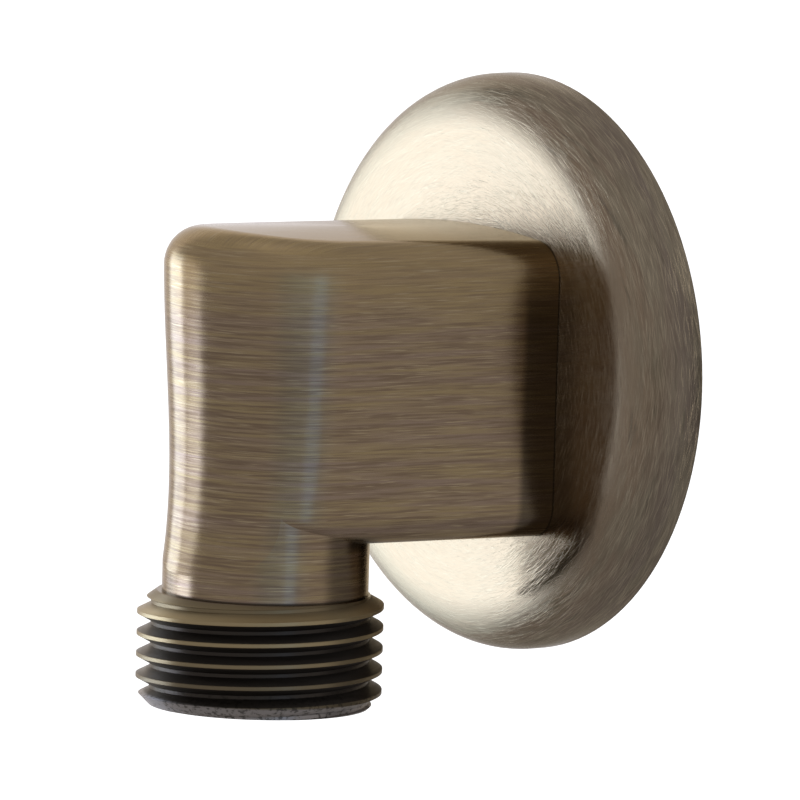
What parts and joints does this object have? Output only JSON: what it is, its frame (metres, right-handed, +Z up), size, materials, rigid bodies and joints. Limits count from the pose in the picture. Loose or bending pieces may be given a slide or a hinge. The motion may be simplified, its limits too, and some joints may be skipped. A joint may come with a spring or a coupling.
{
  "type": "wall outlet elbow",
  "caption": "Shower hose wall outlet: a teardrop cast elbow with a round wall flange, a threaded inlet at the wall and a male threaded outlet pointing down.",
  "frame": {"origin": "the middle of the wall face, on the inlet's axis", "axes": "+Y into the wall along the inlet's axis, -Y out along the arm, +Z up, the outlet pointing down along -Z"},
  "size_m": [0.0496, 0.0378, 0.0529],
  "materials": {
    "body_brass": "antique brass, brushed along the arm",
    "flange_brass": "antique brass, brushed round the disc"
  },
  "bodies": {
    "root": {"elbow_body": "body_brass", "wall_flange": "flange_brass"}
  },
  "joints": []
}
